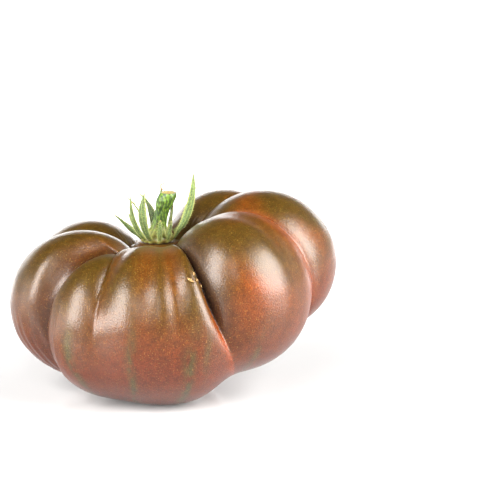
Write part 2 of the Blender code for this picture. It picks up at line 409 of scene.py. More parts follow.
def begun(directions, start, end):
    """How far each direction is from start to end, both in degrees down, as a smooth share from 0 to 1."""
    return smooth_step((degrees_down(directions) - start) / (end - start))


def blush_share(directions, names, first, second, gap):
    """How orange each direction's skin is beside the creases, from 0 to 1."""
    blush = np.zeros(len(directions))
    for (one, other), (width, strength, start, end) in BLUSHES.items():
        here = (first == names.index(one)) & (second == names.index(other))
        blush[here] = (strength * begun(directions, start, end) * np.exp(-((gap / width) ** 2)))[here]
    return blush


def measure_skin(directions, depth_share=1.0):
    """(points of the skin in millimetres, named shares of the painted shade and the orange tints beside the creases).
    """
    names, lengths = group_lengths(directions)
    order = np.argsort(lengths, axis=0)
    first, second = order[-1], order[-2]
    ranked = np.take_along_axis(lengths, order, axis=0)
    gap = ranked[-1] - ranked[-2]
    pinch, pinch_width, start, end = crease_sizes(names, first, second)
    sink = begun(directions, start, end)
    lengths = soft_longest(lengths, CREASE_TOP_MM + (CREASE_FOOT_MM - CREASE_TOP_MM) * sink)

    level = smooth_step(np.hypot(directions[:, 0], directions[:, 1]) / ROUND_STALK)
    # Painted shade in the creases: near black at the bottom of a deep one, fading out of it.
    deep = pinch > DEEP_MM
    reach = np.where(deep, np.clip(DEEP_DARK_SHARE * pinch_width, *DEEP_DARK_MM), OTHER_DARK_MM)
    strength = (1 - (1 - DARK_LEFT_AT_FOOT) * sink) * np.where(deep, 1, OTHER_DARKNESS)
    valley = level * np.exp(-gap / reach) * strength
    # Painted shade on the front_right and left groups' skin beside a deep crease.
    flank = np.zeros(len(directions))
    for group, width in SHADED_MM.items():
        here = (first == names.index(group)) & deep
        flank[here] = (level * np.exp(-((gap / width) ** 2)) * (1 - sink))[here]
    blush = blush_share(directions, names, first, second, gap)

    cut = depth_share * pinch * (1 - sink) * np.exp(-gap / pinch_width) * level
    for furrow in FURROWS:
        share = furrow_share(furrow, directions, lengths)
        cut = cut + furrow.depth * share
        blush = np.maximum(blush, FURROW_BLUSH * share * furrow.depth)
    points = directions * (lengths - cut)[:, None] + [0, 0, CORE_HEIGHT_MM]
    return points, {"valley": valley, "flank": flank, "blush": blush}


def sphere_directions(columns, rows):
    """Unit vectors spread over a sphere, for measuring the skin."""
    turn = np.linspace(0, 2 * np.pi, columns, endpoint=False)
    down = np.linspace(0, np.pi, rows)
    turn, down = (grid.ravel() for grid in np.meshgrid(turn, down))
    return np.stack([np.sin(down) * np.cos(turn), np.sin(down) * np.sin(turn), np.cos(down)], axis=1)


def fruit_fit():
    """(stretch, shift) along X, Y and Z that bring the lobes to the CAD fruit's size and place."""
    points, _ = measure_skin(sphere_directions(FIT_COLUMNS, FIT_ROWS))
    low, high = points.min(axis=0), points.max(axis=0)
    low[2] = 0
    stretch = (FRUIT_HIGH - FRUIT_LOW) / (high - low)
    return stretch, FRUIT_LOW - stretch * low


STRETCH, SHIFT = fruit_fit()
STALK_AXIS = Vector((SHIFT[0], SHIFT[1], 0))
SEAT_HEIGHT = float(measure_skin(np.array([[0.0, 0.0, 1.0]]))[0][0, 2] * STRETCH[2])


# Materials.


def linear(hex_colour):
    """An sRGB hex colour as linear red, green, blue and alpha."""
    parts = [int(hex_colour[i : i + 2], 16) / 255 for i in (1, 3, 5)]
    return (*(p / 12.92 if p <= 0.04045 else ((p + 0.055) / 1.055) ** 2.4 for p in parts), 1.0)


def colour_property(name, description, hex_colour):
    """A colour setting with that sRGB default."""
    return FloatVectorProperty(
        name=name, description=f"Colour: {description}", default=linear(hex_colour), subtype="COLOR", size=4
    )


def socket(sockets, key):
    """The socket with that identifier, name or number."""
    if isinstance(key, int):
        return sockets[key]
    return next((one for one in sockets if one.identifier == key), None) or sockets[key]


def fill_inputs(tree, node, inputs):
    """Each input of the node set to its value, or linked where that is another node's output."""
    for key, value in inputs.items():
        into = socket(node.inputs, key)
        if isinstance(value, bpy.types.NodeSocket):
            tree.links.new(value, into)
        else:
            into.default_value = value


def add_node(tree, kind, settings=None, inputs=None):
    """A new node with its settings, and its inputs set to values or linked to other nodes' outputs."""
    made = tree.nodes.new(kind)
    for name, value in (settings or {}).items():
        setattr(made, name, value)
    fill_inputs(tree, made, inputs or {})
    return made


def new_material(name):
    """(material, its node tree)."""
    made = bpy.data.materials.new(name)
    made.use_nodes = True
    return made, made.node_tree


def fill_shader(tree, inputs):
    """The Principled shader's inputs set to values or linked to other nodes' outputs."""
    fill_inputs(tree, tree.nodes["Principled BSDF"], inputs)


def mixed(tree, factor, a, b, blend="MIX"):
    """The colour output of a mix of a and b."""
    settings = {"data_type": "RGBA", "blend_type": blend, "clamp_factor": True}
    inputs = {"Factor_Float": factor, "A_Color": a, "B_Color": b}
    return socket(add_node(tree, "ShaderNodeMix", settings, inputs).outputs, "Result_Color")


def ranged(tree, value, low, high, to_low=0.0, to_high=1.0, smooth=True):
    """value brought from low..high to to_low..to_high."""
    settings = {"interpolation_type": "SMOOTHSTEP" if smooth else "LINEAR"}
    inputs = {"Value": value, "From Min": low, "From Max": high, "To Min": to_low, "To Max": to_high}
    return add_node(tree, "ShaderNodeMapRange", settings, inputs).outputs["Result"]


def maths(tree, operation, *values):
    """The output of a maths node on the values."""
    return add_node(tree, "ShaderNodeMath", {"operation": operation}, dict(enumerate(values))).outputs[0]


def painted(tree, name):
    """The share that the mesh carries under that name."""
    return add_node(tree, "ShaderNodeAttribute", {"attribute_name": name}).outputs["Fac"]


def place_on(tree):
    """Where on the piece each point is, in metres from the origin."""
    return add_node(tree, "ShaderNodeTexCoord").outputs["Object"]


def part_of(tree, vector, axis):
    """One part of the vector."""
    return add_node(tree, "ShaderNodeSeparateXYZ", None, {"Vector": vector}).outputs[axis]


def drawn_out(tree, place, share):
    """The place with its height squeezed to that share, which draws a pattern out upwards."""
    return add_node(tree, "ShaderNodeMapping", None, {"Vector": place, "Scale": (1.0, 1.0, share)}).outputs[0]


def clouded(tree, place, scale, detail):
    """Cloudy noise about the middle of 0 to 1. Its clouds are 1 / scale metres across."""
    return add_node(tree, "ShaderNodeTexNoise", None, {"Vector": place, "Scale": scale, "Detail": detail}).outputs[0]


def shaded(tree, colour, pattern, low, high, darkest, lightest):
    """The colour times darkest to lightest as the pattern goes from low to high."""
    tone = ranged(tree, pattern, low, high, darkest, lightest, smooth=False)
    grey = add_node(tree, "ShaderNodeCombineColor", None, {0: tone, 1: tone, 2: tone}).outputs[0]
    return mixed(tree, 1.0, colour, grey, "MULTIPLY")


def bumped(tree, height, strength):
    """The normal of a fine relief 0.2 mm high."""
    inputs = {"Strength": strength, "Distance": 0.0002, "Height": height}
    return add_node(tree, "ShaderNodeBump", None, inputs).outputs["Normal"]


def skin_colour(tree, settings, place):
    """Red-brown underneath and olive-brown on the shoulders, redder on the fruit's tall side."""
    height, side = part_of(tree, place, "Z"), part_of(tree, place, "X")
    # Clouds about 25 mm across shift the edge between the brown shoulders and the red underside.
    edge = maths(tree, "MULTIPLY_ADD", clouded(tree, place, 40.0, 3.0), 0.022, -0.011)
    # The tall side of the fruit is riper.
    ripeness = ranged(tree, side, 0.02, 0.055, 0.0, -0.014)
    level = maths(tree, "ADD", maths(tree, "ADD", height, edge), ripeness)
    colour = mixed(tree, ranged(tree, level, 0.012, 0.03), settings.ripe_colour, settings.turning_colour)
    # Warmer patches about 40 mm across lie on the tall side's shoulders.
    flush = ranged(tree, clouded(tree, place, 26.0, 2.0), 0.4, 0.62)
    warm = maths(tree, "MULTIPLY", flush, ranged(tree, side, 0.012, 0.03))
    shoulder = mixed(tree, warm, settings.shoulder_colour, settings.flush_colour)
    return mixed(tree, ranged(tree, level, 0.024, 0.044), colour, shoulder)


def crease_tints(tree, settings, colour, valley):
    """Orange where the skin turns into a crease, and painted shade: near black at the bottom of a deep one and dark
    beside it.
    """
    colour = mixed(tree, painted(tree, "blush"), colour, settings.crease_colour)
    colour = mixed(tree, ranged(tree, valley, 0.6, 0.95, 0.0, 0.92), colour, settings.deep_shade_colour)
    return mixed(tree, maths(tree, "MULTIPLY", painted(tree, "flank"), 0.84), colour, settings.shaded_flank_colour)


def speckled(tree, settings, colour, place):
    """The colour with golden specks about 0.3 mm across, some fainter than others."""
    cells = add_node(tree, "ShaderNodeTexVoronoi", None, {"Vector": place, "Scale": 1600.0, "Randomness": 1.0})
    dots = ranged(tree, cells.outputs["Distance"], 0.36, 0.1, 0.0, 1.0)
    chosen = add_node(tree, "ShaderNodeSeparateColor", None, {"Color": cells.outputs["Color"]}).outputs[0]
    dots = maths(tree, "MULTIPLY", dots, ranged(tree, chosen, 0.1, 1.0, 0.0, 0.24))
    return mixed(tree, dots, colour, settings.speck_colour)


def skin_material(settings):
    """Waxy tomato skin: thin clear wax over coloured flesh, glossy, finely speckled, with soft green streaks."""
    made, tree = new_material("waxy_tomato_skin")
    place, valley = place_on(tree), painted(tree, "valley")
    colour = crease_tints(tree, settings, skin_colour(tree, settings, place), valley)
    # Soft olive streaks run down the ribs, broken by clouds about 3 mm across and 10 mm tall.
    breaks = clouded(tree, drawn_out(tree, place, 0.35), 300.0, 5.0)
    broken = maths(tree, "MULTIPLY", painted(tree, "streak"), ranged(tree, breaks, 0.32, 0.55))
    colour = mixed(tree, broken, colour, settings.streak_colour)
    colour = speckled(tree, settings, colour, place)
    # Mottling about 2.5 mm across, lighter and darker, and grain about 0.5 mm across, too fine to name a colour.
    colour = shaded(tree, colour, clouded(tree, place, 400.0, 5.0), 0.35, 0.65, 0.84, 1.16)
    grain = clouded(tree, place, 2200.0, 2.0)
    normal = bumped(tree, grain, 0.4)
    look = {
        "Base Color": shaded(tree, colour, grain, 0.3, 0.7, 0.6, 1.4),
        "Normal": normal,
        "Roughness": ranged(tree, valley, 0.3, 0.8, settings.roughness, 0.95),
        "IOR": 1.38,
        "Specular Tint": settings.gloss_colour,
        "Coat Weight": settings.wax,
        "Coat Roughness": 0.2,
        "Coat IOR": 1.42,
        "Coat Normal": normal,
        "Sheen Weight": settings.bloom,
        "Sheen Roughness": 0.1,
        "Subsurface Weight": 0.1,
        "Subsurface Scale": 0.003,
        "Subsurface Radius": (1.0, 0.3, 0.1),
    }
    fill_shader(tree, look)
    return made


def stalk_material(settings):
    """Fresh tomato stalk: slightly waxy green with yellow-green flecks, browner at its foot and its break."""
    made, tree = new_material("fresh_green_stalk")
    place = place_on(tree)
    # Flecks about 0.7 mm across and 1.5 mm tall.
    flecks = clouded(tree, drawn_out(tree, place, 0.45), 1500.0, 3.0)
    colour = mixed(tree, ranged(tree, flecks, 0.42, 0.62), settings.stalk_colour, settings.fleck_colour)
    foot = ranged(tree, part_of(tree, place, "Z"), SEAT_HEIGHT + 0.0065, SEAT_HEIGHT + 0.0008, 0.0, 0.85)
    colour = mixed(tree, foot, colour, settings.foot_colour)
    colour = mixed(tree, painted(tree, "rib"), colour, settings.rib_colour)
    look = {
        "Base Color": mixed(tree, painted(tree, "dry"), colour, settings.dry_colour),
        "Normal": bumped(tree, flecks, 0.5),
        "Roughness": 0.48,
        "Sheen Weight": 0.1,
        "Sheen Roughness": 0.4,
        "Subsurface Weight": 0.15,
        "Subsurface Scale": 0.0015,
    }
    fill_shader(tree, look)
    return made


def sepal_material(settings):
    """Downy tomato sepal: matt green, paler along its edges and veins, yellow at its root and brown where it dries."""
    made, tree = new_material("downy_sepal")
    # Patches about 0.4 mm across.
    patches = clouded(tree, place_on(tree), 2300.0, 4.0)
    colour = mixed(tree, ranged(tree, patches, 0.38, 0.62), settings.sepal_dark_colour, settings.sepal_colour)
    pale = maths(tree, "MULTIPLY", painted(tree, "pale"), ranged(tree, patches, 0.42, 0.6, 0.25, 1.0))
    colour = mixed(tree, pale, colour, settings.sepal_pale_colour)
    colour = mixed(tree, painted(tree, "root"), colour, settings.root_colour)
    edge = maths(tree, "MULTIPLY", painted(tree, "rib"), ranged(tree, patches, 0.25, 0.55, 0.45, 1.0))
    colour = mixed(tree, edge, colour, settings.rib_colour)
    look = {
        "Base Color": mixed(tree, painted(tree, "dry"), colour, settings.dry_colour),
        "Normal": bumped(tree, patches, 0.5),
        "Roughness": 0.62,
        "Sheen Weight": 0.12,
        "Sheen Roughness": 0.4,
        "Subsurface Weight": 0.1,
        "Subsurface Scale": 0.001,
    }
    fill_shader(tree, look)
    return made


def cork_material(settings):
    """Corky scar tissue: dry, matt and tan, with darker cracks."""
    made, tree = new_material("corky_scar")
    # Cracks about 0.4 mm apart.
    cracks = clouded(tree, place_on(tree), 2600.0, 3.0)
    look = {
        "Base Color": mixed(tree, ranged(tree, cracks, 0.4, 0.58), settings.crack_colour, settings.cork_colour),
        "Normal": bumped(tree, cracks, 0.7),
        "Roughness": 0.8,
    }
    fill_shader(tree, look)
    return made


def floor_material(settings):
    """White sheet that glows: painted light that lifts the shade under the fruit, dimmed round a spot under the fruit's
    tall side into a painted shadow. It mirrors the fruit's foot softly.
    """
    made, tree = new_material("lit_white_acrylic")
    place = place_on(tree)
    to_shadow_spot = {0: place, 1: PAINTED_SHADOW_SPOT}
    away = add_node(tree, "ShaderNodeVectorMath", {"operation": "DISTANCE"}, to_shadow_spot).outputs["Value"]
    look = {
        "Base Color": settings.floor_colour,
        # Haze about 70 mm across.
        "Roughness": ranged(tree, clouded(tree, place, 14.0, 2.0), 0.2, 0.8, 0.1, 0.16),
        # Painted light: the sheet glows, least round the painted shadow's middle.
        "Emission Color": settings.floor_colour,
        "Emission Strength": ranged(tree, away, 0.05, 0.6, settings.floor_glow * 0.09, settings.floor_glow),
    }
    fill_shader(tree, look)
    return made


# Pieces.


def add_object(name, bm, material):
    """The bmesh as an object at the origin."""
    mesh = bpy.data.meshes.new(name)
    bm.to_mesh(mesh)
    bm.free()
    mesh.materials.append(material)
    made = bpy.data.objects.new(name, mesh)
    bpy.context.scene.collection.objects.link(made)
    return made


def add_piece(name, bm, material, node):
    """The bmesh as a smooth piece that stands for the CAD node."""
    bmesh.ops.recalc_face_normals(bm, faces=bm.faces)
    made = add_object(name, bm, material)
    made.data.shade_smooth()
    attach(made, "root")
    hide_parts(node)


@dataclass(frozen=True)
class Streak:
    """An olive streak down a rib: its bearing and width in degrees, and from where to where in degrees down."""

    bearing: float
    width: float
    start: float
    end: float
    strength: float


STREAKS = (
    Streak(-127, 2.2, 78, 150, 0.7),
    Streak(-100, 1.8, 80, 150, 0.75),
    Streak(-74, 2.4, 82, 160, 0.8),
    Streak(-66, 1.6, 84, 120, 0.6),
    Streak(-44, 1.5, 84, 130, 0.6),
    Streak(-14, 1.6, 80, 130, 0.5),
    Streak(12, 2.0, 75, 140, 0.6),
    Streak(48, 2.4, 80, 150, 0.8),
    Streak(78, 2.2, 75, 160, 0.9),
    Streak(96, 1.5, 85, 140, 0.7),
    Streak(118, 2.4, 75, 155, 0.9),
    Streak(146, 2.0, 80, 150, 0.8),
    Streak(182, 2.0, 85, 140, 0.6),
)
STREAK_RISE, STREAK_FALL = 22, 25  # degrees over which a streak begins and ends
# How far streaks waver slowly and quickly, in degrees, and how often each would on a full turn down.
SLOW_WAVER, SLOW_WAVES = 1.3, 4
QUICK_WAVER, QUICK_WAVES = 0.6, 13
WAVER_STEP = 70  # degrees of its slow waver that each streak is ahead of the last


def streak_share(directions):
    """How green each direction's skin is, from 0 to 1. The streaks waver as they run down."""
    down = degrees_down(directions)
    share = np.zeros(len(directions))
    for number, streak in enumerate(STREAKS):
        waver = SLOW_WAVER * np.sin(np.radians(down * SLOW_WAVES + WAVER_STEP * number))
        waver = waver + QUICK_WAVER * np.sin(np.radians(down * QUICK_WAVES))
        across = np.abs(turn_from(directions, streak.bearing) - waver) / streak.width
        ends = smooth_step((down - streak.start) / STREAK_RISE) * smooth_step((streak.end - down) / STREAK_FALL)
        share = np.maximum(share, streak.strength * ends * np.exp(-(across**2)))
    return share


@dataclass(frozen=True)
class Scar:
    """A corky scar: its bearing and degrees down, its length, width and height in millimetres, and its lean."""

    bearing: float
    down: float
    length: float
    width: float
    height: float
    lean: float  # degrees its length is turned from running straight down


SCARS = (
    Scar(-72.4, 70.4, 2.5, 0.8, 0.5, 50),
    Scar(-70.2, 67.4, 1.2, 0.7, 0.5, 10),
    Scar(-69.4, 70.6, 1.1, 0.7, 0.5, 70),
    Scar(-67.4, 73.0, 1.4, 0.6, 0.4, 15),
)
SCAR_CUTS = 4
SCAR_LUMPS = 1.7  # how closely its lumps lie


def skin_place(bearing, down):
    """(point in metres, matrix whose columns run down the skin, across it and out of it) at that place."""
    spots = np.radians([[bearing, down], [bearing, down + 0.5], [bearing + 0.5, down]])
    turn, fall = spots.T
    directions = np.stack([np.sin(fall) * np.cos(turn), np.sin(fall) * np.sin(turn), np.cos(fall)], axis=1)
    points, _ = measure_skin(directions)
    here, below, beside = (Vector(point) for point in points * STRETCH + SHIFT)
    along = (below - here).normalized()
    out = along.cross(beside - here).normalized()
    return here, Matrix((along, out.cross(along), out)).transposed()


class TomatoFruitSettings(bpy.types.PropertyGroup):
    """Relief, gloss and colours of the fruit's skin"""

    crease_depth: FloatProperty(
        name="Crease depth", description="Share of their full depth that creases are drawn in", default=1, min=0, max=2
    )
    unevenness_mm: FloatProperty(
        name="Unevenness", description="How far the skin swells and dips at random, in millimetres", default=0.3
    )
    pleat_mm: FloatProperty(
        name="Pleats", description="Height of the fine pleats low on the left lobe, in millimetres", default=0.16
    )
    roughness: FloatProperty(
        name="Roughness", description="Roughness of the skin under its wax", default=0.4, subtype="FACTOR"
    )
    wax: FloatProperty(name="Wax", description="Share of the clear wax coat", default=0.55, subtype="FACTOR")
    bloom: FloatProperty(
        name="Bloom", description="Share of the pale bloom seen at a glancing angle", default=0.15, subtype="FACTOR"
    )
    ripe_colour: colour_property("Ripe red", "ripe skin underneath", "#56210b")
    turning_colour: colour_property("Turning", "skin halfway up", "#4e2407")
    shoulder_colour: colour_property("Shoulder", "skin on the shoulders", "#3b2908")
    flush_colour: colour_property("Flush", "warmer patches of the shoulders", "#6f2f06")
    crease_colour: colour_property("Crease", "skin along the creases", "#843307")
    streak_colour: colour_property("Streak", "streaks down the ribs", "#35391c")
    speck_colour: colour_property("Speck", "fine specks", "#b08a40")
    # The next two colours are painted shade: near black at the bottom of a deep crease and dark beside it.
    deep_shade_colour: colour_property("Deep crease", "the bottom of a deep crease", "#1c0804")
    shaded_flank_colour: colour_property("Flank", "skin in the shade of a deep crease", "#240f06")
    gloss_colour: colour_property("Gloss", "the skin's own highlights, under the wax", "#ffdcc4")


class TomatoScarSettings(bpy.types.PropertyGroup):
    """Relief and colours of the corky scars"""

    proud_mm: FloatProperty(
        name="Proud", description="How far the scars' middles stand above the skin, in millimetres", default=0.15
    )
    roughness_mm: FloatProperty(
        name="Lumps", description="How far the scars' surface swells and dips, in millimetres", default=0.35
    )
    cork_colour: colour_property("Cork", "corky scars", "#ab8a54")
    crack_colour: colour_property("Crack", "cracks in the cork", "#5a3512")


class TOMATO_OT_scars(bpy.types.Operator):
    """Model the corky scars in the crease beside the tall lobe"""

    bl_idname = "tomato.scars"
    bl_label = "Scars"

    def execute(self, context):
        settings = context.scene.tomato_scars
        bm = bmesh.new()
        for scar in SCARS:
            lump = bmesh.ops.create_icosphere(bm, subdivisions=SCAR_CUTS, radius=1)["verts"]
            here, frame_of_skin = skin_place(scar.bearing, scar.down)
            turn = frame_of_skin @ Matrix.Rotation(math.radians(scar.lean), 3, "Z")
            size = Vector((scar.length, scar.width, scar.height)) / 2
            middle = here + turn.col[2] * settings.proud_mm * MM
            for vert in lump:
                spot = vert.co * SCAR_LUMPS + Vector((scar.bearing, scar.down, 0))
                swell = settings.roughness_mm * noise.noise(spot)
                vert.co = middle + turn @ (vert.co * size + vert.co * swell) * MM
        add_piece("corky_scars", bm, cork_material(settings), "fruit")
        return {"FINISHED"}


class TOMATO_OT_fruit(bpy.types.Operator):
    """Model the fruit's skin with its lobes, creases and furrows"""

    bl_idname = "tomato.fruit"
    bl_label = "Fruit"

    def execute(self, context):
        settings = context.scene.tomato_fruit
        bm = bmesh.new()
        layers = [bm.verts.layers.float.new(name) for name in ("valley", "flank", "blush", "streak")]
        coarse = FRUIT_CUTS + 1
        bmesh.ops.create_uvsphere(bm, u_segments=FRUIT_COLUMNS // coarse, v_segments=FRUIT_ROWS // coarse, radius=1)
        bmesh.ops.subdivide_edges(bm, edges=bm.edges[:], cuts=FRUIT_CUTS, use_grid_fill=True)
        verts = list(bm.verts)
        directions = np.array([vert.co.normalized() for vert in verts])
        points, shares = measure_skin(directions, settings.crease_depth)
        swell = np.array([noise.fractal(Vector(point) / SWELL_WIDTH_MM, 1.0, 2.0, 2) for point in points])
        fade = smooth_step((points[:, 2] - SWELL_START_MM) / SWELL_RISE_MM)
        swell = swell * settings.unevenness_mm * fade + settings.pleat_mm * pleat_share(directions)
        points = points + directions * swell[:, None]
        points = points * STRETCH + SHIFT
        out = np.hypot(points[:, 0] - STALK_AXIS.x, points[:, 1] - STALK_AXIS.y) / MM
        level = 1 - smooth_step((out - SEAT_RADIUS_MM) / SEAT_FILLET_MM)
        level = np.where(directions[:, 2] > 0, level, 0)
        points[:, 2] += level * (SEAT_HEIGHT - points[:, 2])
        shares = np.stack([*shares.values(), streak_share(directions)], axis=1)
        for vert, point, own in zip(verts, points, shares):
            vert.co = point
            for layer, share in zip(layers, own):
                vert[layer] = share
        cut = bmesh.ops.bisect_plane(
            bm,
            geom=bm.verts[:] + bm.edges[:] + bm.faces[:],
            dist=0.001 * MM,
            plane_co=(0, 0, 0),
            plane_no=(0, 0, 1),
            clear_inner=True,
        )
        rim = [part for part in cut["geom_cut"] if isinstance(part, bmesh.types.BMEdge)]
        bmesh.ops.edgeloop_fill(bm, edges=rim)
        add_piece("tomato_skin", bm, skin_material(settings), "fruit")
        return {"FINISHED"}


def sweep(bm, frames, sides):
    """A closed tube added to bm: a round section carried through the frames. Returns its verts, ring by ring."""
    made = bmesh.ops.create_circle(bm, cap_ends=True, segments=sides, radius=1, matrix=frames[0])
    rings = [list(made["verts"])]
    rim = list({edge for vert in rings[0] for edge in vert.link_edges})
    for last, frame in zip(frames, frames[1:]):
        grown = bmesh.ops.extrude_edge_only(bm, edges=rim)["geom"]
        corners = [part for part in grown if isinstance(part, bmesh.types.BMVert)]
        new = set(corners)
        rim = [part for part in grown if isinstance(part, bmesh.types.BMEdge) and all(v in new for v in part.verts)]
        bmesh.ops.transform(bm, matrix=frame @ last.inverted(), verts=corners)
        rings.append(corners)
    bmesh.ops.edgeloop_fill(bm, edges=rim)
    return rings


def curve_through(points, steps):
    """Places along a smooth curve through the points."""
    points = [Vector(point) for point in points]
    ends = [2 * points[0] - points[1], *points, 2 * points[-1] - points[-2]]
    places = []
    for before, a, b, after in zip(ends, ends[1:], ends[2:], ends[3:]):
        for step in range(steps):
            t = step / steps
            places.append(
                0.5
                * (
                    2 * a
                    + (b - before) * t
                    + (2 * before - 5 * a + 4 * b - after) * t**2
                    + (3 * a - before - 3 * b + after) * t**3
                )
            )
    return [*places, points[-1]]


def tube_frames(places, radius):
    """Round sections along the places, tapering to the end."""
    frames = []
    for number, place in enumerate(places):
        ahead = places[min(number + 1, len(places) - 1)] - places[max(number - 1, 0)]
        thick = radius * (1 - THREAD_TAPER * number / (len(places) - 1))
        turn = ahead.to_track_quat("Z", "Y")
        frames.append(Matrix.LocRotScale(place, turn, Vector((thick, thick, 1))))
    return frames


def stalk_place(height_mm):
    """The middle of the stalk at that height above its foot, in metres."""
    lean = STALK_LEAN_MM * (height_mm / STALK_HEIGHT_MM) ** STALK_BEND
    return STALK_AXIS + Vector((lean * MM, 0, SEAT_HEIGHT + (STALK_GAP_MM + height_mm) * MM))


def sepal_step(sepal, along):
    """(forward, side, normal) of the sepal at that share of its length. The normal points up or to the stalk."""
    turn = math.radians(sepal.bearing + sepal.swing * along)
    lift = math.radians(sepal.lift + sepal.curl * along)
    forward = Vector((math.cos(turn) * math.cos(lift), math.sin(turn) * math.cos(lift), math.sin(lift)))
    side = Vector((-math.sin(turn), math.cos(turn), 0))
    side.rotate(Matrix.Rotation(math.radians(sepal.twist) * min(1.0, along / TWIST_REACH), 3, forward))
    return forward, side, forward.cross(side)


def sepal_places(sepal):
    """The middle of the sepal at each row of its blade, in metres. The first rows are inside the stalk's foot."""
    root = STALK_AXIS + Vector(unit(sepal.bearing)) * SEPAL_ROOT_OUT_MM * MM
    root.z = SEAT_HEIGHT + SEPAL_ROOT_HEIGHT_MM * MM
    inside = STALK_AXIS + Vector(unit(sepal.bearing)) * SEPAL_INSIDE_MM * MM
    inside.z = root.z + SEPAL_INSIDE_RISE_MM * MM
    places = [inside, (inside + root) / 2 - Vector((0, 0, SEPAL_DIP_MM * MM)), root]
    steps = SEPAL_ROWS - 3
    for step in range(1, steps + 1):
        forward, _, _ = sepal_step(sepal, step / steps)
        places.append(places[-1] + forward * (sepal.length * MM / steps))
    return places


def sepal_width(sepal, along):
    """The blade's width in metres at that share of its length."""
    rise = smooth_step(along / sepal.widest)
    fall = max(0.0, 1 - max(0.0, (along - sepal.widest) / (1 - sepal.widest)) ** SEPAL_TAPER)
    width = SEPAL_ROOT_WIDTH_MM + (sepal.width - SEPAL_ROOT_WIDTH_MM) * float(rise)
    return width * fall * MM + SEPAL_TIP_WIDTH_MM * MM


def add_hair(bm, rng, settings, place, outward, spread, rise):
    """A fine tapering hair on the place, leaning at random and a little up. Returns its verts."""
    tilt = (outward + Vector(rng.normal(0, spread, 3)) + Vector((0, 0, rise))).normalized()
    length = settings.hair_length_mm * MM * rng.uniform(*HAIR_SHARES)
    radius = settings.hair_radius_mm * MM
    matrix = Matrix.LocRotScale(place + tilt * (length / 2), tilt.to_track_quat("Z", "Y"), None)
    return bmesh.ops.create_cone(
        bm, segments=3, radius1=radius, radius2=radius * HAIR_TAPER, depth=length, matrix=matrix
    )["verts"]


def stalk_rings():
    """(height, radius) in millimetres of each ring of the stalk, from its foot into its broken end."""
    heights, radii = np.array(STALK_OUTLINE).T
    rings = []
    for height in STALK_HEIGHT_MM * np.arange(STALK_RINGS + 1) / STALK_RINGS:
        near = np.exp(-(((heights - height) / STALK_ROUNDING_MM) ** 2))
        straight, rounded = np.interp(height, heights, radii), (near * radii).sum() / near.sum()
        rings.append((float(height), float(0.6 * straight + 0.4 * rounded)))
    return rings + [(STALK_HEIGHT_MM - depth, radius) for depth, radius in STALK_DISH]


def stalk_swell(turn, height, rib):
    """How far the stalk's side swells at that bearing in radians, as a share of its radius, and how near its foot."""
    foot = 1 - float(smooth_step((height - FOOT_END_MM) / FOOT_FADE_MM))
    knuckle = float(smooth_step((height - KNUCKLE_START_MM) / KNUCKLE_RISE_MM))
    ridges = 0.5 + 0.5 * math.cos(RIDGES * turn + height * RIDGE_TURN)
    dent = noise.noise(Vector((turn * 2, height * 0.7, 3)))
    between = (1 - foot) * (1 - knuckle)
    return RIB_SWELL * rib * foot + RIDGE_SWELL * ridges * between + DENT_SWELL * dent * knuckle, foot


def add_blade(bm, sepal, layers, phase, thickness):
    """A sepal's folded, twisted blade added to bm. Returns (place, outward, on its edge) of each place for a hair."""
    places = sepal_places(sepal)
    bmesh.ops.create_grid(bm, x_segments=SEPAL_COLUMNS, y_segments=SEPAL_ROWS - 1, size=1)
    bmesh.ops.solidify(bm, geom=bm.faces[:], thickness=1.0)
    spots = []
    for vert in bm.verts:
        across, row = vert.co.x, min(round((vert.co.y + 1) / 2 * (SEPAL_ROWS - 1)), SEPAL_ROWS - 1)
        face = 0.5 if abs(vert.co.z) > 0.5 else -0.5
        along = max(0.0, (row - 2) / (SEPAL_ROWS - 3))
        _, side, normal = sepal_step(sepal, along)
        half = sepal_width(sepal, along) / 2
        thick = thickness * (1 - THIN_EDGE * across**2) * (1 - THIN_TIP * along)
        ripple = RIPPLE * math.sin(along * RIPPLE_TURN + phase) * across * abs(across)
        lift = half * (2 * sepal.cup * across**2 + ripple)
        middle = places[row] + normal * (lift + thick * face)
        vert.co = middle + side * across * half * (1 - CUPPED_NARROWER * sepal.cup)
        vein = math.exp(-((across / VEIN_WIDTH) ** 2)) * 0.45
        # Ribs are dimmer on darker sepals. On the back-right sepal this is painted shade.
        vert[layers["rib"]] = max(abs(across) ** 3 * 0.85, vein) * (0.4 + 0.6 * sepal.pale)
        vert[layers["pale"]] = sepal.pale
        vert[layers["root"]] = 0.9 * (1 - float(smooth_step(along / (YELLOW_ROOT_MM / sepal.length))))
        vert[layers["dry"]] = float(smooth_step((along - (1 - DRY_TIP)) / DRY_TIP)) * 0.8
        if row > 2:
            outward = side * across + normal * face * (1.2 - abs(across))
            spots.append((vert.co.copy(), outward.normalized(), abs(across) > HAIR_EDGE))
    return spots


